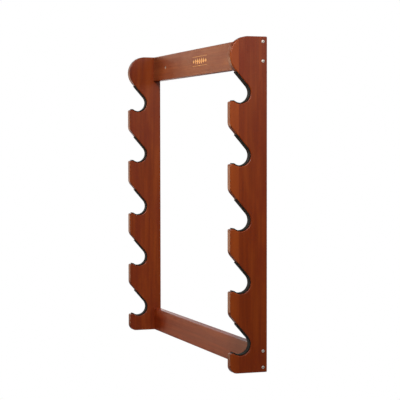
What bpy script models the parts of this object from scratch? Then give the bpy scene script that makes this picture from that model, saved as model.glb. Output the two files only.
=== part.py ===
"""Wall rack that carries five cues level across two notched side boards.

Two rails hold the side boards apart, flush with their back edges. Every joint is a butt joint
with two countersunk screws, driven through the side board into the end of the rail. A felt
liner is glued into each notch, and two screws through the top rail hold the rack on the wall.

X runs to the right as one faces the rack, +Y goes into the wall and +Z is up. The origin lies
on the wall plane, midway between the side boards, on the line of the two wall screws.
All lengths are in metres and all angles in radians.
"""

from math import acos, asin, atan2, ceil, cos, pi, radians, sin

import bmesh
import bpy
from mathutils import Vector

# The rack as a whole
HEIGHT = 0.740          # side boards, from end to end
WIDTH = 0.794           # over the outer faces of the side boards
DEPTH = 0.087           # from the wall to the front edges
BOARD = 0.019           # thickness of all four boards
TOP_RAIL = 0.065        # height of the top rail
BOTTOM_RAIL = 0.058     # height of the bottom rail
ARRIS = 0.0022          # radius on the boards' edges
GAP = 0.0003            # clearance where two pieces meet

# Outline of a side board: depths from the wall, heights from its lower end
NOTCH_HEIGHTS = (0.0635, 0.1995, 0.3370, 0.4795, 0.6165)
NOTCH_DEPTH = 0.0627    # from the wall to a notch's centre
NOTCH_RADIUS = 0.0243
SLOPE = radians(49)     # of the ramp that leads into a notch, from the level
CROWN_RADIUS = 0.043    # rounded top of the board
SHOULDER_RADIUS = 0.021  # where the front edge turns into a ramp
LIP_RISE = 0.0053       # from a notch's lowest point to the top of its lip
LIP_RADIUS = 0.003      # where a notch turns over into its lip
NOSE_RADIUS = 0.0035    # front corner of a lip
TOE_RADIUS = 0.0165     # front corner at the lower end

# Felt liners
FELT = 0.0020           # thickness
FELT_WIDTH = 0.0160
FELT_ON_RAMP = 0.040    # from the notch's arc up the ramp to the liner's upper end
FELT_ON_LIP = 0.002     # from the lip's arc to the liner's lower end

# Screws
JOINT_SCREW = {"length": 0.050, "shank": 0.00175, "head": 0.0035, "cross": 0.0019}
WALL_SCREW = {"length": 0.050, "shank": 0.00200, "head": 0.0038, "cross": 0.0021}
SCREW_SINK = 0.0003     # from the wood's surface down to the head
SCREW_SIDES = 16
RIM = 0.0004            # straight edge of the head
TIP = 0.005             # length of the point
CROSS_DEPTH = 0.0015
CROSS_WING = 0.00045    # half the width of a wing of the cross
CROSS_TAPER = 0.5       # reach of the wings at the bottom of the cross
JOINT_INSET = 0.011     # from a rail's upper or lower edge to the nearest joint screw
WALL_SCREW_SPACING = 0.548

# Places in the rack's own frame
TOP = TOP_RAIL / 2
BOTTOM = TOP - HEIGHT
INNER = WIDTH / 2 - BOARD    # inner face of a side board

MAHOGANY = (0.185, 0.042, 0.016, 1.0)
MAHOGANY_RAIL = (0.205, 0.055, 0.024, 1.0)
FELT_GREY = (0.020, 0.021, 0.017, 1.0)
NICKEL = (0.62, 0.58, 0.52, 1.0)


# ---------------------------------------------------------------- outlines

def polar(centre, radius, angle):
    return Vector((centre[0] + radius * cos(angle), centre[1] + radius * sin(angle)))


def arc(centre, radius, start, end, step=radians(10)):
    """Points on an arc, both ends included, no further apart than step."""
    count = max(2, ceil(abs(end - start) / step))
    return [polar(centre, radius, start + (end - start) * i / count) for i in range(count + 1)]


def notch_centre(notch):
    return Vector((NOTCH_DEPTH, NOTCH_HEIGHTS[notch]))


def ramp_slope(notch):
    """Slope of the ramp above a notch: the top one is tangent to the crown."""
    if notch < len(NOTCH_HEIGHTS) - 1:
        return SLOPE
    rise = Vector((DEPTH - CROWN_RADIUS, HEIGHT - CROWN_RADIUS)) - notch_centre(notch)
    return atan2(rise.y, rise.x) + acos((CROWN_RADIUS + NOTCH_RADIUS) / rise.length) - pi / 2


LIP_REACH = NOTCH_RADIUS + LIP_RADIUS
LIP_ANGLE = asin((LIP_REACH - LIP_RISE) / LIP_REACH)   # below the level, where the notch ends


def lip_centre(notch):
    return polar(notch_centre(notch), LIP_REACH, -LIP_ANGLE)


def notch_path(notch, offset=0.0):
    """The seat of a notch from its ramp to the top of its lip, raised by offset."""
    start = pi / 2 + ramp_slope(notch)
    seat = arc(notch_centre(notch), NOTCH_RADIUS - offset, start, 2 * pi - LIP_ANGLE)
    lip = arc(lip_centre(notch), LIP_RADIUS + offset, pi - LIP_ANGLE, pi / 2, radians(14))
    return seat + lip[1:]


def shoulder(notch):
    """The rounded corner between the front edge and the ramp below it."""
    slope = ramp_slope(notch)
    inset = DEPTH - SHOULDER_RADIUS
    rise = NOTCH_RADIUS + SHOULDER_RADIUS + sin(slope) * (inset - NOTCH_DEPTH)
    centre = (inset, NOTCH_HEIGHTS[notch] + rise / cos(slope))
    return arc(centre, SHOULDER_RADIUS, 0, slope - pi / 2)


def side_board_outline():
    """Depth and height of the outline's points, from the top back corner round to the lower one."""
    last = len(NOTCH_HEIGHTS) - 1
    crown = (DEPTH - CROWN_RADIUS, HEIGHT - CROWN_RADIUS)
    points = [Vector((0, HEIGHT))]
    points += arc(crown, CROWN_RADIUS, pi / 2, ramp_slope(last) - pi / 2, radians(8))
    for notch in range(last, -1, -1):
        if notch < last:
            points += shoulder(notch)
        points += notch_path(notch)
        nose = (DEPTH - NOSE_RADIUS, points[-1].y - NOSE_RADIUS)
        points += arc(nose, NOSE_RADIUS, pi / 2, 0, radians(30))
    points += arc((DEPTH - TOE_RADIUS, TOE_RADIUS), TOE_RADIUS, 0, -pi / 2)
    return points + [Vector((0, 0))]


def liner_path(notch, offset):
    """A face of the felt, from its upper end on the ramp to its lower end on the lip."""
    slope = ramp_slope(notch)
    path = notch_path(notch, offset)
    upper = path[0] + FELT_ON_RAMP * Vector((cos(slope), sin(slope)))
    lower = path[-1] + Vector((FELT_ON_LIP, 0))
    return [upper] + path + [lower]


def liner_outline(notch):
    return liner_path(notch, GAP) + liner_path(notch, GAP + FELT)[::-1]


def rail_outline(height):
    """Cross-section of a rail standing on zero, with its long edges rounded."""
    r = ARRIS
    centres = [(BOARD - r, height - r), (BOARD - r, r), (r, r), (r, height - r)]
    points = []
    for quarter, centre in enumerate(centres):
        start = pi / 2 * (1 - quarter)
        points += arc(centre, r, start, start - pi / 2, radians(30))
    return points


# ---------------------------------------------------------------- building blocks

def finish(name, colour, roughness, metallic=0.0):
    material = bpy.data.materials.new(name)
    material.use_nodes = True
    material.diffuse_color = colour
    shader = material.node_tree.nodes["Principled BSDF"]
    shader.inputs["Base Color"].default_value = colour
    shader.inputs["Roughness"].default_value = roughness
    shader.inputs["Metallic"].default_value = metallic
    return material


def add_object(name, mesh, parent=None):
    body = bpy.data.objects.new(name, mesh)
    bpy.context.scene.collection.objects.link(body)
    body.parent = parent
    return body


def mesh_from(bm, name):
    bmesh.ops.recalc_face_normals(bm, faces=bm.faces)
    mesh = bpy.data.meshes.new(name)
    bm.to_mesh(mesh)
    bm.free()
    return mesh


def slab(name, outline, thickness):
    """Mesh of an outline of (depth, height) points, standing upright, its thickness centred on X."""
    bm = bmesh.new()
    ends = [
        [bm.verts.new((side * thickness / 2, -depth, height)) for depth, height in outline]
        for side in (-1, 1)
    ]
    for ring in ends:
        bm.faces.new(ring)
    for i in range(len(outline)):
        bm.faces.new((ends[0][i - 1], ends[0][i], ends[1][i], ends[1][i - 1]))
    return mesh_from(bm, name)


def ring(bm, radius, height):
    step = 2 * pi / SCREW_SIDES
    return [bm.verts.new((*polar((0, 0), radius, step * i), height)) for i in range(SCREW_SIDES)]


def bridge(bm, upper, lower):
    for i in range(len(upper)):
        bm.faces.new((upper[i - 1], upper[i], lower[i], lower[i - 1]))


def turned(bm, profile):
    """Skin turned about Z from (radius, height) pairs. Returns the first ring and the last."""
    rings = [ring(bm, radius, height) for radius, height in profile]
    for upper, lower in zip(rings, rings[1:]):
        bridge(bm, upper, lower)
    return rings[0], rings[-1]


def shank_profile(spec, extra=0.0):
    """Head, neck and shank of a screw, from under its head to the start of its point."""
    head, shank, length = spec["head"] + extra, spec["shank"] + extra, spec["length"]
    neck = -RIM - (spec["head"] - spec["shank"])
    return [(head, -RIM), (shank, neck), (shank, TIP - length)]


def cross_ring(bm, reach, height):
    """The twelve corners of a cross, drawn at the given height."""
    quarter = [(reach, -CROSS_WING), (reach, CROSS_WING), (CROSS_WING, CROSS_WING)]
    corners = []
    for turn in range(4):
        c, s = round(cos(turn * pi / 2)), round(sin(turn * pi / 2))
        corners += [(x * c - y * s, x * s + y * c) for x, y in quarter]
    return [bm.verts.new((x, y, height)) for x, y in corners]


def loop_edges(bm, loop):
    return [bm.edges.get((loop[i - 1], loop[i])) or bm.edges.new((loop[i - 1], loop[i]))
            for i in range(len(loop))]


def screw_mesh(name, spec):
    """Countersunk screw along -Z with the top of its head at zero and a cross recess in it."""
    bm = bmesh.new()
    top, end = turned(bm, [(spec["head"], 0.0)] + shank_profile(spec))
    point = bm.verts.new((0, 0, -spec["length"]))
    for i in range(SCREW_SIDES):
        bm.faces.new((end[i - 1], end[i], point))
    mouth = cross_ring(bm, spec["cross"], 0.0)
    floor = cross_ring(bm, spec["cross"] * CROSS_TAPER, -CROSS_DEPTH)
    bridge(bm, mouth, floor)
    bm.faces.new(floor)
    bmesh.ops.triangle_fill(bm, edges=loop_edges(bm, top) + loop_edges(bm, mouth), use_beauty=True)
    bmesh.ops.triangulate(bm, faces=[face for face in bm.faces if len(face.verts) > 4])
    mesh = mesh_from(bm, name)
    mesh.shade_smooth()
    mesh.set_sharp_from_angle(angle=radians(35))
    return mesh


def hole_mesh(name, spec):
    """Cutter that clears a screw of the same make by GAP all round."""
    bm = bmesh.new()
    above = [(spec["head"] + GAP, 0.001)]
    top, end = turned(bm, above + shank_profile(spec, GAP) + [(spec["shank"], -spec["length"] - GAP)])
    bm.faces.new(top)
    bm.faces.new(end)
    return mesh_from(bm, name)


def cut(board, cutter):
    hole = board.modifiers.new(cutter.name, "BOOLEAN")
    hole.operation = "DIFFERENCE"
    hole.solver = "EXACT"
    hole.object = cutter


# ---------------------------------------------------------------- the rack

def add_side_board(name, side, rack):
    mesh = slab(name, side_board_outline(), BOARD)
    board = add_object(name, mesh, rack)
    board.location = (side * (WIDTH - BOARD) / 2, 0, BOTTOM)
    mesh.materials.append(finish(name + "_lacquer", MAHOGANY, 0.32))
    rounded = board.modifiers.new("arris", "BEVEL")
    rounded.width = ARRIS
    rounded.segments = 2
    rounded.limit_method = "ANGLE"
    rounded.angle_limit = radians(50)
    return board


def add_rail(name, height, bottom, rack):
    mesh = slab(name, rail_outline(height), 2 * (INNER - GAP))
    mesh.materials.append(finish(name + "_lacquer", MAHOGANY_RAIL, 0.30))
    rail = add_object(name, mesh, rack)
    rail.location = (0, 0, bottom)
    return rail


def add_liner(name, notch, board):
    mesh = slab(name, liner_outline(notch), FELT_WIDTH)
    mesh.materials.append(finish(name + "_felt", FELT_GREY, 0.95))
    return add_object(name, mesh, board)


def add_screw(name, meshes, place, turn, rack, boards):
    """A screw at place, turned so that its head faces out, and its hole through the boards."""
    screw = add_object(name, meshes["screw"].copy(), rack)
    screw.data.materials.append(finish(name + "_nickel", NICKEL, 0.35, 1.0))
    hole = add_object(name + "_hole", meshes["hole"], rack)
    hole.hide_render = True
    hole.display_type = "WIRE"
    for body in (screw, hole):
        body.location = place
        body.rotation_euler = turn
    for board in boards:
        cut(board, hole)


def screw_meshes(name, spec):
    return {"screw": screw_mesh(name, spec), "hole": hole_mesh(name + "_hole", spec)}


def build_rack():
    rack = add_object("rack", None)
    sides = {"left": -1, "right": 1}
    boards = {name: add_side_board(name + "_side_board", side, rack) for name, side in sides.items()}
    rails = {
        "top": add_rail("top_rail", TOP_RAIL, TOP - TOP_RAIL, rack),
        "bottom": add_rail("bottom_rail", BOTTOM_RAIL, BOTTOM, rack),
    }
    for name, board in boards.items():
        for notch in range(len(NOTCH_HEIGHTS)):
            add_liner(f"{name}_liner_{notch + 1}", notch, board)

    joint_screw = screw_meshes("joint_screw", JOINT_SCREW)
    edges = {"top": (TOP, TOP - TOP_RAIL), "bottom": (BOTTOM + BOTTOM_RAIL, BOTTOM)}
    for side_name, side in sides.items():
        for rail_name, (upper, lower) in edges.items():
            heights = {"upper": upper - JOINT_INSET, "lower": lower + JOINT_INSET}
            for level, height in heights.items():
                place = (side * (WIDTH / 2 - SCREW_SINK), -BOARD / 2, height)
                name = f"joint_screw_{side_name}_{rail_name}_{level}"
                pair = (boards[side_name], rails[rail_name])
                add_screw(name, joint_screw, place, (0, side * pi / 2, 0), rack, pair)

    wall_screw = screw_meshes("wall_screw", WALL_SCREW)
    for side_name, side in sides.items():
        place = (side * WALL_SCREW_SPACING / 2, SCREW_SINK - BOARD, 0)
        add_screw("wall_screw_" + side_name, wall_screw, place, (pi / 2, 0, 0), rack, (rails["top"],))


for old in list(bpy.data.objects):
    bpy.data.objects.remove(old, do_unlink=True)
build_rack()
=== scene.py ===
"""Looks of the wall cue rack: two notched side boards, two rails, ten felt liners and ten screws.

The frame gives every place. The boards and rails are shaped again with finer curves and
rounder edges, the liners and the screws are made by node trees, and a gilt band of lozenges
decorates the top rail. X runs to the right as one faces the rack, +Y goes into the wall and
+Z is up. All lengths are in metres and all angles in radians.
"""

from math import acos, asin, atan2, ceil, cos, pi, radians, sin

import bmesh
import bpy
from mathutils import Matrix, Vector


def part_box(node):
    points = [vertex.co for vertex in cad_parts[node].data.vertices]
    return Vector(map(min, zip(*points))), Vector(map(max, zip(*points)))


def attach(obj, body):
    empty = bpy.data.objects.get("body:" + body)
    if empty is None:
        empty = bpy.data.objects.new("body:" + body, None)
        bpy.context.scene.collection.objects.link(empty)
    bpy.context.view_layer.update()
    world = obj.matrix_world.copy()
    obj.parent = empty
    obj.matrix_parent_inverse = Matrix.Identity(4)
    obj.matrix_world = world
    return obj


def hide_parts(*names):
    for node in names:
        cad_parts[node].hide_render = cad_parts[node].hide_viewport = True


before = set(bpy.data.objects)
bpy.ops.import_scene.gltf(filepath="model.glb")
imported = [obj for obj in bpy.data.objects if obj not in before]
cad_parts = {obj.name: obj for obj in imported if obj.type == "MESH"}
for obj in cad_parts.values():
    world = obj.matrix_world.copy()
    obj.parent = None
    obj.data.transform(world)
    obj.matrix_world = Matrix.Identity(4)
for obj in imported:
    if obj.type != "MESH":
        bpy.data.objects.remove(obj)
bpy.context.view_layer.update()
SIDES = {"left": -1, "right": 1}
NOTCHES = range(1, 6)

# The boards, as the frame has them
BOARD_LOW, BOARD_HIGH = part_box("right_side_board")
RAIL_LOW, RAIL_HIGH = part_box("top_rail")
BASE_LOW, BASE_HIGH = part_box("bottom_rail")
BOARD = BOARD_HIGH.x - BOARD_LOW.x      # thickness of all four boards
OUTER = BOARD_HIGH.x                    # outer face of the right side board
TOP = BOARD_HIGH.z
BOTTOM = BOARD_LOW.z
DEPTH = -BOARD_LOW.y                    # from the wall to the front edges

# Shape of a side board's outline
GAP = 0.0003            # clearance where two pieces meet
ARRIS = 0.0022          # radius on the boards' edges
ARRIS_STEPS = 5
NOTCH_RADIUS = 0.0243
SLOPE = radians(49)     # of the ramp that leads into a notch, from the level
CROWN_RADIUS = 0.043
SHOULDER_RADIUS = 0.021  # where the front edge turns into a ramp
LIP_RISE = 0.0053       # from a notch's lowest point to the top of its lip
LIP_RADIUS = 0.003
NOSE_RADIUS = 0.0035    # front corner of a lip
TOE_RADIUS = 0.0165     # front corner at the lower end
FINE = radians(3)       # step of the outline's arcs
LAMELLA = 0.0205        # width of the paler strip along the right board's front edge
ROUNDED_FROM = radians(50)   # board edges sharper than this get an arris
BOARD_CREASE = radians(42)   # and edges sharper than this are shaded as creases
FACE_WEIGHT = 90        # how far the large faces rule the shading

# Felt
FELT = 0.0020
FELT_WIDTH = 0.0160
FELT_CORNER = 0.0005
FELT_ON_RAMP = 0.040    # from the notch's arc up the ramp to the liner's upper end
FELT_ON_LIP = 0.002     # from the lip's arc to the liner's lower end
FELT_STEP = 0.0008
NAP = 0.00025           # height of the felt's unevenness
NAP_SCALE = 700.0

# Screws
JOINT_SCREW = {"length": 0.050, "shank": 0.00175, "head": 0.0035, "cross": 0.0021, "smooth": 0.014,
               "dome": 0.0002}
WALL_SCREW = {"length": 0.050, "shank": 0.00200, "head": 0.0038, "cross": 0.0023, "smooth": 0.010,
              "dome": 0.0014}
PITCH = 0.0016
CORE = 0.72             # thread's root against its crest
TIP = 0.006             # length of the point
RIM = 0.0004            # straight edge of the head
HEAD_ROUND = 0.00012
CROSS_WING = 0.00042    # half the width of a wing of the cross
CROSS_DEPTH = 0.0016
CROSS_INNER = 1.45      # cut of the cross's inner corners, against its wing
CROSS_STEPS = (         # shares of the cross's reach, wing and depth, from its mouth down
    (1.0, 1.12, 0.0),
    (0.95, 1.0, 0.06),
    (0.80, 0.86, 0.55),
    (0.46, 0.62, 1.0),
)
PIT = 1.25              # depth of the cross's middle, against its floor
RIDGE = 0.28            # half the width of the thread's ridge, in turns
TIP_END = 0.04          # width of the point's end, against the shank
TIP_CURVE = 0.8         # below one, the point bulges
THREAD_STEPS = 8        # rings to each turn of the thread
NECK = 1.04             # width of the neck, against the shank
NECK_LENGTH = 0.0006
SCREW_CREASE = radians(38)
SCREW_SIDES = 24
HOLE_SIDES = 48
HOLE_ABOVE = 0.001      # how far a hole is cut above the wood's surface

# Gilt band
BAND_WIDTH = 0.105
BAND_HEIGHT = 0.0165
BAND_CENTRE = (-0.0005, 0.0015)
LOZENGES = 7
GILT = 0.00012          # thickness of the foil
GILT_SUNK = GILT / 8    # how far the foil's back lies in the wood
LOZENGE_WIDTH = 0.86    # against the space that it has
LOZENGE_FALL = 0.55     # how much lower the outermost lozenges would be
LOZENGE_TOP = 0.46      # half a lozenge's width at its face, and at its foot
LOZENGE_FOOT = 0.50
RULE_WIDTH = 0.055      # against the band's height
RULE_LIFT = 0.68        # a rule's distance from the middle, against the band's height


# ---------------------------------------------------------------- node trees

def pick(sockets, key):
    """A socket by its number or name: of several with one name, the one in use."""
    if isinstance(key, int):
        return sockets[key]
    return next(socket for socket in sockets if socket.name == key and socket.enabled)


class Value:
    """One output of a node. Sums on values add their Math nodes."""

    def __init__(self, tree, node, key=0):
        self.tree, self.node, self.key = tree, node, key

    def out(self, key):
        return Value(self.tree, self.node, key)

    def __add__(self, other):
        return self.tree.math("ADD", self, other)

    def __radd__(self, other):
        return self.tree.math("ADD", other, self)

    def __sub__(self, other):
        return self.tree.math("SUBTRACT", self, other)

    def __rsub__(self, other):
        return self.tree.math("SUBTRACT", other, self)

    def __mul__(self, other):
        return self.tree.math("MULTIPLY", self, other)

    def __rmul__(self, other):
        return self.tree.math("MULTIPLY", other, self)

    def __truediv__(self, other):
        return self.tree.math("DIVIDE", self, other)

    def __pow__(self, other):
        return self.tree.math("POWER", self, other)


class Tree:
    """Builds a node tree, for a material or for geometry."""

    def __init__(self, tree):
        self.nodes, self.links = tree.nodes, tree.links
        self.nodes.clear()

    def add(self, kind, settings=None, sockets=None):
        """A node of a kind: first its settings, then the values or links of its sockets."""
        node = self.nodes.new(kind)
        for name, setting in (settings or {}).items():
            setattr(node, name, setting)
        for key, value in (sockets or {}).items():
            for source in value if isinstance(value, list) else [value]:
                self.feed(pick(node.inputs, key), source)
        return Value(self, node)

    def feed(self, socket, source):
        if isinstance(source, Value):
            self.links.new(pick(source.node.outputs, source.key), socket)
        else:
            socket.default_value = source

    def math(self, operation, *terms):
        return self.add("ShaderNodeMath", {"operation": operation}, dict(enumerate(terms)))

    def vector(self, operation, *terms):
        return self.add("ShaderNodeVectorMath", {"operation": operation}, dict(enumerate(terms)))

    def split(self, vector):
        node = self.add("ShaderNodeSeparateXYZ", sockets={"Vector": vector})
        return node.out("X"), node.out("Y"), node.out("Z")

    def mix(self, factor, a, b, blend="MIX"):
        settings = {"data_type": "RGBA", "blend_type": blend}
        return self.add("ShaderNodeMix", settings, {"Factor": factor, "A": a, "B": b}).out("Result")

    def window(self, value, low, high, start=0.0, end=1.0):
        """From start to end as the value goes from low to high, eased at both ends."""
        settings = {"interpolation_type": "SMOOTHSTEP"}
        span = {"Value": value, "From Min": low, "From Max": high, "To Min": start, "To Max": end}
        return self.add("ShaderNodeMapRange", settings, span)

    def noise(self, vector, scale, detail=2.0, roughness=0.5, distortion=0.0):
        sockets = {"Vector": vector, "Scale": scale, "Detail": detail, "Roughness": roughness}
        return self.add("ShaderNodeTexNoise", sockets={**sockets, "Distortion": distortion})

    def stretched(self, vector, scale, **settings):
        """Noise whose grain is this many waves to the metre along each axis."""
        return self.noise(self.vector("MULTIPLY", vector, scale), 1.0, **settings)


class Finish(Tree):
    """A surface finish: a Principled shader whose inputs the pattern feeds."""

    def __init__(self, name):
        self.material = bpy.data.materials.new(name)
        self.material.use_nodes = True
        super().__init__(self.material.node_tree)

    def object_place(self, turn=(0, 0, 0)):
        source = self.add("ShaderNodeTexCoord").out("Object")
        return self.add("ShaderNodeMapping", sockets={"Vector": source, "Rotation": turn})

    def done(self, bumps=(), **sockets):
        """Finishes the shader. Each bump is a height, its distance in metres and its strength."""
        normal = None
        for height, distance, strength in bumps:
            bump = {"Height": height, "Distance": distance, "Strength": strength}
            if normal:
                bump["Normal"] = normal
            normal = self.add("ShaderNodeBump", sockets=bump)
        if normal:
            sockets["Normal"] = normal
        shader = self.add("ShaderNodeBsdfPrincipled", sockets=sockets)
        self.add("ShaderNodeOutputMaterial", sockets={"Surface": shader})
        return self.material


class Form(Tree):
    """A geometry tree with named inputs, run on one object."""

    def __init__(self, name, **inputs):
        self.group = bpy.data.node_groups.new(name, "GeometryNodeTree")
        super().__init__(self.group)
        self.names = {}
        self.interface("Geometry", "INPUT", "Geometry")
        self.interface("Geometry", "OUTPUT", "Geometry")
        for label, kind in inputs.items():
            self.names[label] = self.interface(label, "INPUT", kind)
        self.given = self.add("NodeGroupInput")

    def interface(self, label, in_out, kind):
        socket = self.group.interface.new_socket(
            name=label, in_out=in_out, socket_type="NodeSocket" + kind
        )
        return socket.identifier

    def input(self, label):
        return self.given.out(label)

    def end(self, geometry, material):
        real = self.add("GeometryNodeRealizeInstances", sockets={"Geometry": geometry})
        coated = self.add("GeometryNodeSetMaterial", sockets={"Geometry": real, "Material": material})
        self.add("NodeGroupOutput", sockets={"Geometry": coated})

    def run(self, body, **values):
        """The body's mesh becomes what the tree makes of it with these values."""
        modifier = body.modifiers.new(self.group.name, "NODES")
        modifier.node_group = self.group
        for label, value in values.items():
            modifier[self.names[label]] = value
        return settled(body)


# ---------------------------------------------------------------- objects and meshes

def add_object(name, mesh):
    body = bpy.data.objects.new(name, mesh)
    bpy.context.scene.collection.objects.link(body)
    return body


def settled(body):
    """The body with the mesh that its modifiers make, and the modifiers gone."""
    graph = bpy.context.evaluated_depsgraph_get()
    graph.update()
    mesh = bpy.data.meshes.new_from_object(
        body.evaluated_get(graph), preserve_all_data_layers=True, depsgraph=graph
    )
    body.modifiers.clear()
    body.data = mesh
    mesh.name = body.name
    return body


def mesh_from(bm, name, outward=True):
    if outward:
        bmesh.ops.recalc_face_normals(bm, faces=bm.faces)
    mesh = bpy.data.meshes.new(name)
    bm.to_mesh(mesh)
    bm.free()
    return mesh


def mount(piece, *nodes, slot=None):
    """The finished piece goes with the rack and stands for these parts of the frame."""
    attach(piece, "root")
    if nodes:
        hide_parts(*nodes)
    return piece


# ---------------------------------------------------------------- outlines, as (depth, height)

def polar(centre, radius, angle):
    return Vector((centre[0] + radius * cos(angle), centre[1] + radius * sin(angle)))


def arc(centre, radius, start, end, step=FINE):
    count = max(2, ceil(abs(end - start) / step))
    return [polar(centre, radius, start + (end - start) * i / count) for i in range(count + 1)]


def notch_centre(notch):
    """From the liner's box: the liner is against the bottom and the back of its notch."""
    low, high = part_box(f"right_liner_{notch}")
    reach = NOTCH_RADIUS - GAP
    return Vector((reach - high.y, low.z + reach))


CROWN_CENTRE = Vector((DEPTH - CROWN_RADIUS, TOP - CROWN_RADIUS))
LIP_REACH = NOTCH_RADIUS + LIP_RADIUS
LIP_ANGLE = asin((LIP_REACH - LIP_RISE) / LIP_REACH)   # below the level, where the notch ends


def ramp_slope(notch):
    """Slope of the ramp above a notch: the top one is tangent to the crown."""
    if notch < NOTCHES[-1]:
        return SLOPE
    rise = CROWN_CENTRE - notch_centre(notch)
    return atan2(rise.y, rise.x) + acos((CROWN_RADIUS + NOTCH_RADIUS) / rise.length) - pi / 2


def notch_path(notch, offset=0.0):
    """The seat of a notch from its ramp to the top of its lip, raised by offset."""
    centre = notch_centre(notch)
    start = pi / 2 + ramp_slope(notch)
    seat = arc(centre, NOTCH_RADIUS - offset, start, 2 * pi - LIP_ANGLE)
    lip_centre = polar(centre, LIP_REACH, -LIP_ANGLE)
    lip = arc(lip_centre, LIP_RADIUS + offset, pi - LIP_ANGLE, pi / 2, 3 * FINE)
    return seat + lip[1:]


def shoulder(notch):
    """The rounded corner between the front edge and the ramp below it."""
    slope = ramp_slope(notch)
    notch_depth, notch_height = notch_centre(notch)
    inset = DEPTH - SHOULDER_RADIUS
    rise = NOTCH_RADIUS + SHOULDER_RADIUS + sin(slope) * (inset - notch_depth)
    return arc((inset, notch_height + rise / cos(slope)), SHOULDER_RADIUS, 0, slope - pi / 2)


def side_board_outline():
    last = NOTCHES[-1]
    points = [Vector((0, TOP))]
    points += arc(CROWN_CENTRE, CROWN_RADIUS, pi / 2, ramp_slope(last) - pi / 2)
    for notch in reversed(NOTCHES):
        if notch < last:
            points += shoulder(notch)
        points += notch_path(notch)
        nose = (DEPTH - NOSE_RADIUS, points[-1].y - NOSE_RADIUS)
        points += arc(nose, NOSE_RADIUS, pi / 2, 0, 4 * FINE)
    points += arc((DEPTH - TOE_RADIUS, BOTTOM + TOE_RADIUS), TOE_RADIUS, 0, -pi / 2)
    return points + [Vector((0, BOTTOM))]


def liner_path(notch, offset):
    """The felt from its upper end on the ramp to its lower end on the lip."""
    slope = ramp_slope(notch)
    path = notch_path(notch, offset)
    upper = path[0] + FELT_ON_RAMP * Vector((cos(slope), sin(slope)))
    lower = path[-1] + Vector((FELT_ON_LIP, 0))
    return [upper] + path + [lower]


# ---------------------------------------------------------------- finishes

BOARD_STAIN = (0.190, 0.0225, 0.0020)
# Painted light: the rails' colours are lighter and more orange than the boards', though the wood is the
# same
TOP_RAIL_STAIN_AND_LIGHT = (0.330, 0.0520, 0.0085)
BOTTOM_RAIL_STAIN_AND_LIGHT = (0.300, 0.0290, 0.0032)

# Where in the log each board was cut
LEFT_CUT = (0.23, 0.52, 0.90)
RIGHT_CUT = (0.71, 0.13, 0.40)
TOP_RAIL_CUT = (0.33, 0.27, 0.11)
BOTTOM_RAIL_CUT = (0.57, 0.08, 0.61)

# Waves to the metre of the wood's figure: across, in depth and along the grain
WANDER = (9.0, 9.0, 2.2)
SWAY = (30.0, 30.0, 5.0)
RIBBON = (120.0, 120.0, 4.0)
FIBRE = (520.0, 520.0, 11.0)
HAIR = (1500.0, 1500.0, 38.0)
PORE = (1900.0, 1900.0, 130.0)
BLOTCH = (19.0, 19.0, 8.0)
FRESH = (30.0, 30.0, 3.0)
RINGS = 95.0

# What a stain's red, green and blue are multiplied by
DEEP = (0.60, 0.50, 0.45)
GOLDEN = (1.40, 2.10, 2.60)
RED = (0.84, 0.62, 0.66)
PALE = (1.75, 2.7, 3.0)
IN_PORES = (0.16, 0.20, 0.40)
RUBBED = (1.9, 2.6, 3.4)

LAMELLA_JUMP = (0.37, 0.21, 0.53)   # from the board's grain to the lamella's
LAMELLA_BLUR = 0.0012               # half the width of the change between them
LACQUER_IOR = 1.36

FELT_DARK = (0.004, 0.0038, 0.0027, 1.0)
FELT_MIDDLE = (0.015, 0.0138, 0.0098, 1.0)
FELT_CLUMP = (0.024, 0.022, 0.016, 1.0)
FELT_LINT = (0.12, 0.105, 0.085, 1.0)
LINT = (1400.0, 500.0, 1700.0)      # waves to the metre

NICKEL = (0.80, 0.71, 0.64)
NICKEL_SPOTS = 0.78                 # brightness of the spots
NICKEL_DULL = 0.42
# colour of the painted shade in the screws' cross
NICKEL_RECESS_SHADE = (0.120, 0.090, 0.070, 1.0)

GOLD = (0.80, 0.50, 0.20, 1.0)
GOLD_RUBBED = (0.36, 0.16, 0.06, 1.0)


def shade(colour, by):
    """A colour with its red, green and blue changed by these factors, for a colour socket."""
    return tuple(c * factor for c, factor in zip(colour, by)) + (1.0,)


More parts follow.
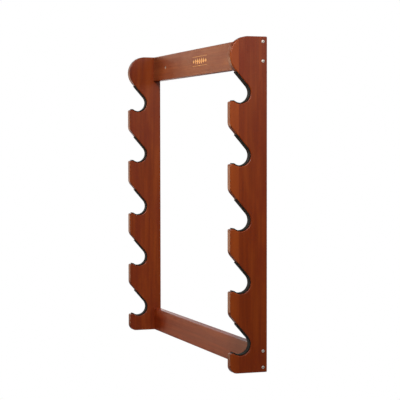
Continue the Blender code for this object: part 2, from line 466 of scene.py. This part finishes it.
def lacquered_wood(name, grain, shift, stain_and_light, strip=0.0):
    """Open-pored wood, stained red-brown and lacquered satin. The grain runs along X or Z.

    shift says where in the log the board was cut, and the fourth argument is the colour that it took:
    for the rails, lightened and made more orange by painted light.
    strip is the width of a paler lamella glued along the front edge."""
    g = Finish(name)
    turn = (0, radians(-90), 0) if grain == "X" else (0, 0, 0)
    place = g.object_place(turn)
    across, depth, along = g.split(place)
    cut = g.vector("ADD", place, shift)
    if strip:
        apart = g.math("GREATER_THAN", 0 - depth, DEPTH - strip)
        jump = g.add("ShaderNodeVectorMath", {"operation": "SCALE"}, {0: LAMELLA_JUMP, "Scale": apart})
        cut = g.vector("ADD", cut, jump)

    # Growth rings: bands at even distances from the pith, which wander along the grain
    wander = g.stretched(cut, WANDER, detail=2.0)
    sway = g.stretched(cut, SWAY, detail=1.0)
    u = across * 0.55 + wander * 0.030 + sway * 0.006
    v = depth + wander * 0.024
    radius = (u * u + v * v) ** 0.5 + shift[0] * 0.1
    rings = g.add("ShaderNodeTexNoise", {"noise_dimensions": "1D"},
                  {"W": radius, "Scale": RINGS, "Detail": 3.0, "Roughness": 0.62})
    bands = g.window(rings, 0.30, 0.72)

    # Ribbons, fibres and open pores, all drawn out along the grain
    ribbon = g.window(g.stretched(cut, RIBBON, detail=3.0), 0.30, 0.70)
    fibre = g.stretched(cut, FIBRE, detail=3.0, roughness=0.65)
    hair = g.stretched(cut, HAIR, detail=2.0, roughness=0.6)
    pore_noise = g.stretched(cut, PORE, detail=1.0)
    pores = g.window(pore_noise, 0.66, 0.72) * g.window(rings, 0.42, 0.60)
    blotch = g.stretched(cut, BLOTCH, detail=3.0, roughness=0.6)

    deep = shade(stain_and_light, DEEP)
    golden = shade(stain_and_light, GOLDEN)
    colour = g.mix(bands * 0.80, golden, (*stain_and_light, 1.0))
    colour = g.mix(ribbon * 0.46, colour, deep)
    colour = g.mix(g.window(blotch, 0.42, 0.70) * 0.60, colour, shade(stain_and_light, RED))
    colour = g.mix(g.window(fibre, 0.35, 0.75) * 0.30, colour, deep)
    colour = g.mix(g.window(hair, 0.52, 0.80) * 0.26, colour, golden)
    if strip:
        pale = g.window(0 - depth, DEPTH - strip - LAMELLA_BLUR, DEPTH - strip + LAMELLA_BLUR)
        fresh = g.window(g.stretched(cut, FRESH, detail=2.0), 0.3, 0.7, 0.46, 0.70)
        fresh = fresh * g.window(along, BOTTOM + 0.02, BOTTOM + 0.34, 0.35, 1.0)
        colour = g.mix(pale * fresh, colour, shade(stain_and_light, PALE))
    colour = g.mix(pores * 0.60, colour, shade(stain_and_light, IN_PORES))

    # Stain rubs thin on the arrises
    normal = g.add("ShaderNodeNewGeometry").out("Normal")
    nx, ny, nz = g.split(normal)
    if grain == "X":
        arris = ny * ny * nz * nz * 4
    else:
        arris = nx * nx * (1 - nx * nx) * 4
    worn = g.window(arris, 0.15, 0.9) * g.window(blotch, 0.35, 0.65, 0.35, 1.0)
    colour = g.mix(worn * 0.12, colour, shade(stain_and_light, RUBBED))

    rough = 0.28 + fibre * 0.10 + pores * 0.22 + g.window(blotch, 0.4, 0.7) * 0.05
    return g.done(
        bumps=[(blotch, 0.0006, 0.10), (fibre - pores * 0.8, 0.00012, 0.35)],
        **{"Base Color": colour, "Roughness": rough, "IOR": LACQUER_IOR}
    )


def felt_finish(name, seed):
    """Pressed wool, dyed charcoal green, with tangled fibres and a little lint."""
    g = Finish(name)
    place = g.vector("ADD", g.object_place(), (seed * 0.31, 0.0, seed * 0.17))
    tangle = g.noise(place, 900.0, detail=4.0, roughness=0.7, distortion=1.6)
    clump = g.noise(place, 210.0, detail=2.0)
    lint = g.window(g.stretched(place, LINT, detail=1.0, distortion=2.2), 0.70, 0.76)
    colour = g.mix(g.window(tangle, 0.30, 0.70), FELT_DARK, FELT_MIDDLE)
    colour = g.mix(g.window(clump, 0.35, 0.70) * 0.35, colour, FELT_CLUMP)
    colour = g.mix(lint * 0.45, colour, FELT_LINT)
    return g.done(
        bumps=[(clump, 0.0007, 0.5), (tangle, 0.0005, 0.9)],
        **{"Base Color": colour, "Roughness": 0.88 + tangle * 0.10, "Sheen Weight": 0.08,
           "Sheen Roughness": 0.45, "Specular IOR Level": 0.18}
    )


def nickel(name):
    """Plated steel: bright on the head, with painted shade in the cross, and fine turning marks."""
    g = Finish(name)
    place = g.object_place()
    sunk = g.add("ShaderNodeAttribute", {"attribute_name": "sunk"}).out("Fac")
    from_axis = g.add("ShaderNodeAttribute", {"attribute_name": "from_axis"}).out("Fac")
    # Painted shade: the cross is darkened the deeper it goes, and also made rougher and less metallic
    recess_shade = g.window(sunk, 0.0002, 0.0013)
    marks = g.add("ShaderNodeTexNoise", {"noise_dimensions": "1D"},
                  {"W": from_axis, "Scale": 9000.0, "Detail": 2.0})
    spots = g.noise(place, 1800.0, detail=3.0, roughness=0.6)
    spotted = shade(NICKEL, [NICKEL_SPOTS] * 3)
    clean = g.mix(g.window(spots, 0.35, 0.75), (*NICKEL, 1.0), spotted)
    colour = g.mix(recess_shade * 0.70, clean, NICKEL_RECESS_SHADE)
    rough = NICKEL_DULL + g.window(spots, 0.4, 0.8) * 0.16 + recess_shade * 0.25
    return g.done(
        bumps=[(marks, 0.00004, 0.5), (spots, 0.00005, 0.3)],
        **{"Base Color": colour, "Roughness": rough, "Metallic": 0.70 - recess_shade * 0.30}
    )


def gilt(name):
    """Stamped gold foil, thin enough for the wood's grain to show through it."""
    g = Finish(name)
    place = g.object_place()
    streak = g.stretched(place, (14.0, 700.0, 700.0), detail=3.0, roughness=0.6)
    fleck = g.noise(place, 2600.0, detail=2.0)
    rubbed = g.window(streak, 0.56, 0.72) * g.window(fleck, 0.45, 0.65)
    colour = g.mix(rubbed * 0.55, GOLD, GOLD_RUBBED)
    return g.done(
        bumps=[(streak, 0.00006, 0.5)],
        **{"Base Color": colour, "Roughness": 0.36 + rubbed * 0.25, "Metallic": 0.85 - rubbed * 0.4}
    )


# ---------------------------------------------------------------- boards and rails

def slab(name, outline, low, high):
    """Mesh of an outline of (depth, height) points that reaches along X from low to high."""
    bm = bmesh.new()
    ends = [[bm.verts.new((x, -depth, height)) for depth, height in outline] for x in (low, high)]
    for end in ends:
        bm.faces.new(end)
    for i in range(len(outline)):
        bm.faces.new((ends[0][i - 1], ends[0][i], ends[1][i], ends[1][i - 1]))
    return mesh_from(bm, name)


def round_arrises(body):
    bevel = body.modifiers.new("arris", "BEVEL")
    bevel.width = ARRIS
    bevel.segments = ARRIS_STEPS
    bevel.limit_method = "ANGLE"
    bevel.angle_limit = ROUNDED_FROM


def hole_cutter(spec, place, facing):
    """A countersunk hole that clears a screw by GAP, from just above the wood's surface."""
    head, shank, length = spec["head"] + GAP, spec["shank"] + GAP, spec["length"] + GAP
    neck = -RIM - (spec["head"] - spec["shank"])
    bm = bmesh.new()
    rings = [turned_ring(bm, lambda _: radius, height, HOLE_SIDES)
             for radius, height in ((head, HOLE_ABOVE), (head, -RIM), (shank, neck), (shank, -length))]
    skin(bm, rings)
    for ring in (rings[0], rings[-1]):
        bm.faces.new(ring)
    mesh = mesh_from(bm, "hole")
    mesh.transform(Matrix.Translation(place) @ facing.to_track_quat("Z", "Y").to_matrix().to_4x4())
    return add_object("hole", mesh)


def drill(body, cutters):
    for cutter in cutters:
        hole = body.modifiers.new("hole", "BOOLEAN")
        hole.operation = "DIFFERENCE"
        hole.solver = "EXACT"
        hole.object = cutter


def finish_board(body, material):
    """Smooth shading in which the flat faces stay flat."""
    body.data.materials.clear()
    body.data.materials.append(material)
    body.data.shade_smooth()
    body.data.set_sharp_from_angle(angle=BOARD_CREASE)
    weighted = body.modifiers.new("weighted", "WEIGHTED_NORMAL")
    weighted.keep_sharp = True
    weighted.weight = FACE_WEIGHT
    return settled(body)


def make_side_board(side_name, cutters):
    side = SIDES[side_name]
    faces = sorted((side * OUTER, side * (OUTER - BOARD)))
    body = add_object(side_name + "_board", slab(side_name + "_board", side_board_outline(), *faces))
    round_arrises(body)
    drill(body, cutters)
    settled(body)
    if side > 0:
        wood = lacquered_wood("right_board_lacquer", "Z", RIGHT_CUT, BOARD_STAIN, strip=LAMELLA)
    else:
        wood = lacquered_wood("left_board_lacquer", "Z", LEFT_CUT, BOARD_STAIN)
    return mount(finish_board(body, wood), side_name + "_side_board", slot="mahogany")


def make_rail(name, low, high, shift, stain_and_light, cutters):
    outline = [Vector(p) for p in ((0, low.z), (-low.y, low.z), (-low.y, high.z), (0, high.z))]
    body = add_object(name + "_board", slab(name + "_board", outline, low.x, high.x))
    soften_long_edges(body)
    drill(body, cutters)
    settled(body)
    wood = lacquered_wood(name + "_lacquer", "X", shift, stain_and_light)
    return mount(finish_board(body, wood), name, slot="mahogany")


def soften_long_edges(body):
    """Rounds the edges that run along X and leaves the sawn ends square."""
    weights = body.data.attributes.new("bevel_weight_edge", "FLOAT", "EDGE")
    for edge in body.data.edges:
        a, b = (body.data.vertices[i].co for i in edge.vertices)
        weights.data[edge.index].value = float(abs(a.x - b.x) > BOARD)
    bevel = body.modifiers.new("arris", "BEVEL")
    bevel.width = ARRIS
    bevel.segments = ARRIS_STEPS
    bevel.limit_method = "WEIGHT"


# ---------------------------------------------------------------- screws

def turned_ring(bm, radius, height, sides):
    """A ring of points whose radius may change with the angle."""
    angles = [2 * pi * i / sides for i in range(sides)]
    return [bm.verts.new((*polar((0, 0), radius(angle), angle), height)) for angle in angles]


def skin(bm, rings):
    for upper, lower in zip(rings, rings[1:]):
        for i in range(len(upper)):
            bm.faces.new((upper[i - 1], upper[i], lower[i], lower[i - 1]))


def thread_radius(spec, height, angle):
    """Right-handed thread on the shank, which fades in below the smooth part and at the point."""
    below = -height
    turn = (height / PITCH - angle / (2 * pi)) % 1.0
    ridge = max(0.0, 1 - abs(turn - 0.5) / RIDGE)
    fade = min(1.0, max(0.0, (below - spec["smooth"]) / PITCH))
    taper = min(1.0, max(TIP_END, (spec["length"] - below) / TIP))
    root = 1 - (1 - CORE) * fade
    return spec["shank"] * taper ** TIP_CURVE * (root + (1 - root) * ridge)


def cross_ring(bm, reach, wing, height):
    """The corners of a cross, its four inner corners cut off."""
    quarter = [(reach, -wing), (reach, wing), (wing * CROSS_INNER, wing), (wing, wing * CROSS_INNER)]
    corners = []
    for turn in range(4):
        c, s = round(cos(turn * pi / 2)), round(sin(turn * pi / 2))
        corners += [(x * c - y * s, x * s + y * c) for x, y in quarter]
    return [bm.verts.new((x, y, height)) for x, y in corners]


def loop_edges(bm, loop):
    return [bm.edges.get((loop[i - 1], loop[i])) or bm.edges.new((loop[i - 1], loop[i]))
            for i in range(len(loop))]


def raise_dome(bm, head, rise):
    """Turns the flat top of the head into a low dome, the cross raised with it."""
    for vertex in bm.verts:
        if vertex.co.z > -HEAD_ROUND:
            share = min(1.0, vertex.co.xy.length / head)
            vertex.co.z += rise * (1 - share * share)


def screw_form(name, spec):
    """Countersunk wood screw along -Z with the top of its head at zero and a cross in it."""
    bm = bmesh.new()
    head, shank, length = spec["head"], spec["shank"], spec["length"]
    neck = -RIM - (head - shank)
    profile = [(head - HEAD_ROUND, 0.0), (head - HEAD_ROUND / 3, -HEAD_ROUND / 3), (head, -HEAD_ROUND)]
    profile += [(head, -RIM), (shank * NECK, neck), (shank, neck - NECK_LENGTH)]
    rings = [turned_ring(bm, lambda _: radius, height, SCREW_SIDES) for radius, height in profile]
    height = -spec["smooth"]
    while height > -length:
        rings.append(turned_ring(bm, lambda a: thread_radius(spec, height, a), height, SCREW_SIDES))
        height -= PITCH / THREAD_STEPS
    skin(bm, rings)
    point = bm.verts.new((0, 0, -length))
    for i in range(SCREW_SIDES):
        bm.faces.new((rings[-1][i - 1], rings[-1][i], point))
    cross = [cross_ring(bm, spec["cross"] * reach, CROSS_WING * wing, -CROSS_DEPTH * fall)
             for reach, wing, fall in CROSS_STEPS]
    skin(bm, cross)
    pit = bm.verts.new((0, 0, -CROSS_DEPTH * PIT))
    for i in range(len(cross[-1])):
        bm.faces.new((cross[-1][i - 1], cross[-1][i], pit))
    rim = loop_edges(bm, rings[0]) + loop_edges(bm, cross[0])
    bmesh.ops.triangle_fill(bm, edges=rim, use_beauty=True)
    raise_dome(bm, head, spec["dome"])
    mesh = mesh_from(bm, name)
    sunk = mesh.attributes.new("sunk", "FLOAT", "POINT")
    from_axis = mesh.attributes.new("from_axis", "FLOAT", "POINT")
    for vertex in mesh.vertices:
        axis_distance = vertex.co.xy.length
        inside = axis_distance < spec["cross"] * 1.02 and vertex.co.z > -2 * CROSS_DEPTH
        sunk.data[vertex.index].value = -vertex.co.z if inside else 0.0
        from_axis.data[vertex.index].value = axis_distance
    mesh.shade_smooth()
    mesh.set_sharp_from_angle(angle=SCREW_CREASE)
    return mesh


def screw_places(nodes):
    """Where each screw's head lies and which way it faces, from the boxes of its parts in the frame."""
    places = []
    for node in nodes:
        low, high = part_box(node)
        middle = (low + high) / 2
        if node.startswith("wall"):
            places.append((Vector((middle.x, low.y, middle.z)), Vector((0, -1, 0))))
        elif middle.x > 0:
            places.append((Vector((high.x, middle.y, middle.z)), Vector((1, 0, 0))))
        else:
            places.append((Vector((low.x, middle.y, middle.z)), Vector((-1, 0, 0))))
    return places


def screw_setting():
    """A tree that sets a screw at each point, facing as the point says, turned by chance."""
    f = Form("screws_in_place", screw="Object", seed="Int", material="Material")
    screw = f.add("GeometryNodeObjectInfo", {"transform_space": "ORIGINAL"},
                  {"Object": f.input("screw"), "As Instance": True}).out("Geometry")
    facing = f.add("GeometryNodeInputNamedAttribute", {"data_type": "FLOAT_VECTOR"},
                   {"Name": "facing"}).out("Attribute")
    turn = f.add("FunctionNodeAlignRotationToVector", {"axis": "Z"}, {"Vector": facing}).out("Rotation")
    points = f.add("GeometryNodeMeshToPoints", sockets={"Mesh": f.input("Geometry")}).out("Points")
    placed = f.add("GeometryNodeInstanceOnPoints", None,
                   {"Points": points, "Instance": screw, "Rotation": turn}).out("Instances")
    chance = f.add("FunctionNodeRandomValue", {"data_type": "FLOAT"},
                   {"Min": 0.0, "Max": 2 * pi, "Seed": f.input("seed")}).out("Value")
    spin = f.add("ShaderNodeCombineXYZ", sockets={"Z": chance})
    spun = f.add("GeometryNodeRotateInstances", None, {"Instances": placed, "Rotation": spin})
    f.end(spun, f.input("material"))
    return f


def make_screws(name, spec, nodes, setting, material, seed):
    places = screw_places(nodes)
    prototype = add_object(name + "_form", screw_form(name + "_form", spec))
    carrier = bpy.data.meshes.new(name)
    carrier.from_pydata([place for place, _ in places], [], [])
    facing = carrier.attributes.new("facing", "FLOAT_VECTOR", "POINT")
    for row, (_, direction) in zip(facing.data, places):
        row.vector = direction
    body = setting.run(add_object(name, carrier), screw=prototype, seed=seed, material=material)
    bpy.data.objects.remove(prototype)
    return mount(body, *nodes, slot="screw_metal")


# ---------------------------------------------------------------- felt liners

def felt_strip_tree():
    """A tree that lays a strip of felt along a line, with round corners and an uneven nap."""
    f = Form("felt_strip", width="Float", thickness="Float", corner="Float", step="Float",
             nap="Float", material="Material")
    line = f.add("GeometryNodeMeshToCurve", None, {"Mesh": f.input("Geometry")}).out("Curve")
    line = f.add("GeometryNodeResampleCurve", {"mode": "LENGTH"},
                 {"Curve": line, "Length": f.input("step")}).out("Curve")
    line = f.add("GeometryNodeSetCurveNormal", {"mode": "FREE"},
                 {"Curve": line, "Normal": (1.0, 0.0, 0.0)}).out("Curve")
    face = f.add("GeometryNodeCurvePrimitiveQuadrilateral", {"mode": "RECTANGLE"},
                 {"Width": f.input("width"), "Height": f.input("thickness")}).out("Curve")
    face = f.add("GeometryNodeFilletCurve", {"mode": "POLY"},
                 {"Curve": face, "Count": 3, "Radius": f.input("corner")}).out("Curve")
    face = f.add("GeometryNodeResampleCurve", {"mode": "LENGTH"},
                 {"Curve": face, "Length": f.input("step")}).out("Curve")
    strip = f.add("GeometryNodeCurveToMesh", None,
                  {"Curve": line, "Profile Curve": face, "Fill Caps": True}).out("Mesh")
    place = f.add("GeometryNodeInputPosition")
    rough = f.noise(place, NAP_SCALE, detail=2.0) - 0.5
    normal = f.add("GeometryNodeInputNormal")
    shift = f.add("ShaderNodeVectorMath", {"operation": "SCALE"},
                  {"Vector": normal, "Scale": rough * f.input("nap")})
    strip = f.add("GeometryNodeSetPosition", None, {"Geometry": strip, "Offset": shift})
    strip = f.add("GeometryNodeSetShadeSmooth", None, {"Geometry": strip})
    f.end(strip, f.input("material"))
    return f


def make_liner(side_name, notch, tree, material):
    node = f"{side_name}_liner_{notch}"
    low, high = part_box(node)
    middle = (low.x + high.x) / 2
    path = liner_path(notch, GAP + FELT / 2)
    line = bpy.data.meshes.new(node + "_felt")
    steps = [(i, i + 1) for i in range(len(path) - 1)]
    line.from_pydata([(middle, -depth, height) for depth, height in path], steps, [])
    body = tree.run(
        add_object(node + "_felt", line), width=FELT_WIDTH, thickness=FELT, corner=FELT_CORNER,
        step=FELT_STEP, nap=NAP, material=material,
    )
    mount(body, node, slot="felt")
    length = sum((b - a).length for a, b in zip(path, path[1:]))
    return body


# ---------------------------------------------------------------- gilt band

def band_tree():
    """A tree that makes a row of lozenges, largest in the middle, between two fine rules."""
    f = Form("gilt_band", count="Int", length="Float", height="Float", foil="Float", material="Material")
    count, length, height, foil = (f.input(n) for n in ("count", "length", "height", "foil"))
    spacing = length / count
    start = f.add("ShaderNodeCombineXYZ", sockets={"X": spacing / 2 - length / 2})
    step = f.add("ShaderNodeCombineXYZ", sockets={"X": spacing})
    row = f.add("GeometryNodeMeshLine", {"mode": "OFFSET"},
                {"Count": count, "Start Location": start, "Offset": step}).out("Mesh")
    lozenge = f.add("GeometryNodeMeshCone", {"fill_type": "NGON"},
                    {"Vertices": 4, "Radius Top": LOZENGE_TOP, "Radius Bottom": LOZENGE_FOOT,
                     "Depth": 1.0}).out("Mesh")
    place_x, _, _ = f.split(f.add("GeometryNodeInputPosition"))
    off_centre = f.math("ABSOLUTE", place_x) / (length / 2)
    size = height * (1 - off_centre * off_centre * LOZENGE_FALL)
    scale = f.add("ShaderNodeCombineXYZ", sockets={"X": spacing * LOZENGE_WIDTH, "Y": size, "Z": foil})
    lozenges = f.add("GeometryNodeInstanceOnPoints", None,
                     {"Points": row, "Instance": lozenge, "Scale": scale}).out("Instances")
    rule_size = f.add("ShaderNodeCombineXYZ", sockets={"X": length, "Y": height * RULE_WIDTH, "Z": foil})
    rule = f.add("GeometryNodeMeshCube", None, {"Size": rule_size}).out("Mesh")
    lift = height * RULE_LIFT
    rules = []
    for level in (lift, lift * -1.0):
        shift = f.add("ShaderNodeCombineXYZ", sockets={"Y": level, "Z": foil / 2})
        moved = f.add("GeometryNodeTransform", None, {"Geometry": rule, "Translation": shift})
        rules.append(moved.out("Geometry"))
    whole = f.add("GeometryNodeJoinGeometry", None, {"Geometry": [lozenges, *rules]})
    f.end(whole, f.input("material"))
    return f


def make_band():
    body = band_tree().run(
        add_object("gilt_band", bpy.data.meshes.new("gilt_band")), count=LOZENGES, length=BAND_WIDTH,
        height=BAND_HEIGHT, foil=GILT, material=gilt("gilt_foil"),
    )
    x, z = BAND_CENTRE
    upright = Matrix.Rotation(pi / 2, 4, "X")
    body.data.transform(Matrix.Translation((x, RAIL_LOW.y + GILT_SUNK, z)) @ upright)
    return mount(body)


# ---------------------------------------------------------------- the rack

def make_rack():
    joint_nodes = [f"joint_screw_{side}_{rail}_{level}" for side in SIDES
                   for rail in ("top", "bottom") for level in ("upper", "lower")]
    wall_nodes = ["wall_screw_" + side for side in SIDES]
    cutters = {}
    for nodes, spec in ((joint_nodes, JOINT_SCREW), (wall_nodes, WALL_SCREW)):
        for node, (place, facing) in zip(nodes, screw_places(nodes)):
            cutters[node] = hole_cutter(spec, place, facing)

    def matching(*words):
        return [cutter for node, cutter in cutters.items() if all(word in node for word in words)]

    for side_name in SIDES:
        make_side_board(side_name, matching("joint", side_name))
    make_rail("top_rail", RAIL_LOW, RAIL_HIGH, TOP_RAIL_CUT, TOP_RAIL_STAIN_AND_LIGHT,
              matching("joint", "_top_") + matching("wall"))
    make_rail("bottom_rail", BASE_LOW, BASE_HIGH, BOTTOM_RAIL_CUT, BOTTOM_RAIL_STAIN_AND_LIGHT,
              matching("joint", "_bottom_"))
    for cutter in cutters.values():
        bpy.data.objects.remove(cutter)

    tree = felt_strip_tree()
    for side_name, side in SIDES.items():
        felt = felt_finish(side_name + "_felt", side)
        for notch in NOTCHES:
            make_liner(side_name, notch, tree, felt)

    setting = screw_setting()
    make_screws("joint_screws", JOINT_SCREW, joint_nodes, setting, nickel("joint_screw_nickel"), 3)
    make_screws("wall_screws", WALL_SCREW, wall_nodes, setting, nickel("wall_screw_nickel"), 7)
    make_band()


# ---------------------------------------------------------------- camera, floor and light

LENS = 126.46
CAMERA_PLACE = Vector((3.2691, -1.1584, -0.2065))
CAMERA_AZIMUTH = radians(70.776)
CAMERA_PITCH = radians(-2.216)
CAMERA_ROLL = radians(-0.082)
RACK_MIDDLE = Vector((0, -DEPTH / 2, (TOP + BOTTOM) / 2))
FLOOR_HEIGHT = BOTTOM - 0.45
FLOOR_RADIUS = 1.7
FLOOR_BACK = -0.04           # the floor's middle along Y
FLOOR_SIDES = 96
FADE_START, FADE_END = 0.45, 0.97   # where the floor fades out, against its radius
MOTTLE_SCALE = 3.0
PAPER_GREY = (0.86, 0.86, 0.85, 1.0)
PAPER_WHITE = (0.90, 0.90, 0.89, 1.0)
VIEW_END = 100
PLAIN = (1.0, 1.0, 1.0)
WARM = (1.0, 0.66, 0.42)     # tint of the lights that graze the rails from the left
DIM_SKY = {"Color": (0.96, 0.98, 1.0, 1.0), "Strength": 0.06}
WHITE_SKY = {"Color": (1.0, 1.0, 1.0, 1.0), "Strength": 1.0}


def add_camera():
    ahead = Vector((-sin(CAMERA_AZIMUTH), cos(CAMERA_AZIMUTH), 0))
    aside = Vector((cos(CAMERA_AZIMUTH), sin(CAMERA_AZIMUTH), 0))
    above = Vector((0, 0, 1))
    view = ahead * cos(CAMERA_PITCH) + above * sin(CAMERA_PITCH)
    crown = above * cos(CAMERA_PITCH) - ahead * sin(CAMERA_PITCH)
    right = aside * cos(CAMERA_ROLL) + crown * sin(CAMERA_ROLL)
    up = crown * cos(CAMERA_ROLL) - aside * sin(CAMERA_ROLL)
    camera = bpy.data.objects.new("camera", bpy.data.cameras.new("camera"))
    bpy.context.scene.collection.objects.link(camera)
    camera.data.lens = LENS
    camera.data.dof.use_dof = False
    camera.data.clip_end = VIEW_END
    turned = Matrix((right, up, -view)).transposed().to_4x4()
    camera.matrix_world = Matrix.Translation(CAMERA_PLACE) @ turned
    bpy.context.scene.camera = camera


def add_softbox(name, azimuth, elevation, distance, size, watts, aim=0.0, spread=180, tint=PLAIN):
    """An area light that faces the rack. Azimuth is from +X towards +Y, all angles in degrees.

    aim is how far above the rack's middle it points, and spread the angle of its grid."""
    light = bpy.data.lights.new(name, "AREA")
    light.color = tint
    light.shape = "RECTANGLE"
    light.size, light.size_y = size
    light.energy = watts
    light.spread = radians(spread)
    lamp = bpy.data.objects.new(name, light)
    bpy.context.scene.collection.objects.link(lamp)
    turn, rise = radians(azimuth), radians(elevation)
    target = RACK_MIDDLE + Vector((0, 0, aim))
    outward = Vector((cos(turn) * cos(rise), sin(turn) * cos(rise), sin(rise)))
    lamp.location = target + distance * outward
    lamp.rotation_euler = (-outward).to_track_quat("-Z", "Y").to_euler()
    lamp.visible_camera = False


def add_lights():
    add_softbox("key", -20, 24, 3.0, (0.9, 0.9), 8.8, aim=0.25, spread=60)
    add_softbox("high_fill", -30, 62, 2.2, (0.9, 0.9), 5)
    add_softbox("right_fill", 20, 17, 2.6, (1.0, 0.9), 6, aim=0.1)
    add_softbox("left_front", -140, -12, 2.4, (1.2, 1.1), 2.8, aim=0.36, spread=60, tint=WARM)
    add_softbox("left_glow", -167, 9, 2.6, (0.7, 1.8), 5.5, tint=WARM)
    add_softbox("rim_glow", 176, 6, 2.6, (1.2, 1.8), 9)
    add_softbox("back_left", 150, 14, 2.6, (1.6, 1.2), 5)
    add_softbox("back_right", 80, 20, 2.4, (0.8, 1.2), 15)


def add_surroundings():
    """White all round for the eye, but dim grey in the lacquer's reflections."""
    world = bpy.data.worlds.new("studio")
    bpy.context.scene.world = world
    world.use_nodes = True
    w = Tree(world.node_tree)
    seen = w.add("ShaderNodeLightPath").out("Is Camera Ray")
    dim = w.add("ShaderNodeBackground", None, DIM_SKY)
    white = w.add("ShaderNodeBackground", None, WHITE_SKY)
    both = w.add("ShaderNodeMixShader", None, {0: seen, 1: dim, 2: white})
    w.add("ShaderNodeOutputWorld", None, {"Surface": both})
    bpy.context.scene.view_settings.view_transform = "Standard"


def add_floor():
    """A pale round floor that fades out towards its rim."""
    bm = bmesh.new()
    bmesh.ops.create_circle(bm, cap_ends=True, segments=FLOOR_SIDES, radius=FLOOR_RADIUS)
    mesh = mesh_from(bm, "floor", outward=False)
    mesh.transform(Matrix.Translation((0, FLOOR_BACK, FLOOR_HEIGHT)))
    g = Finish("pale_floor")
    x, y, _ = g.split(g.object_place())
    distance = (x * x + y * y) ** 0.5
    mottle = g.noise(g.object_place(), MOTTLE_SCALE, detail=3.0)
    colour = g.mix(mottle, PAPER_GREY, PAPER_WHITE)
    paper = g.add("ShaderNodeBsdfDiffuse", None, {"Color": colour})
    clear = g.add("ShaderNodeBsdfTransparent")
    fade = g.window(distance, FLOOR_RADIUS * FADE_START, FLOOR_RADIUS * FADE_END)
    both = g.add("ShaderNodeMixShader", None, {0: fade, 1: paper, 2: clear})
    g.add("ShaderNodeOutputMaterial", None, {"Surface": both})
    mesh.materials.append(g.material)
    add_object("floor", mesh)


add_camera()
add_surroundings()
add_floor()
add_lights()
make_rack()
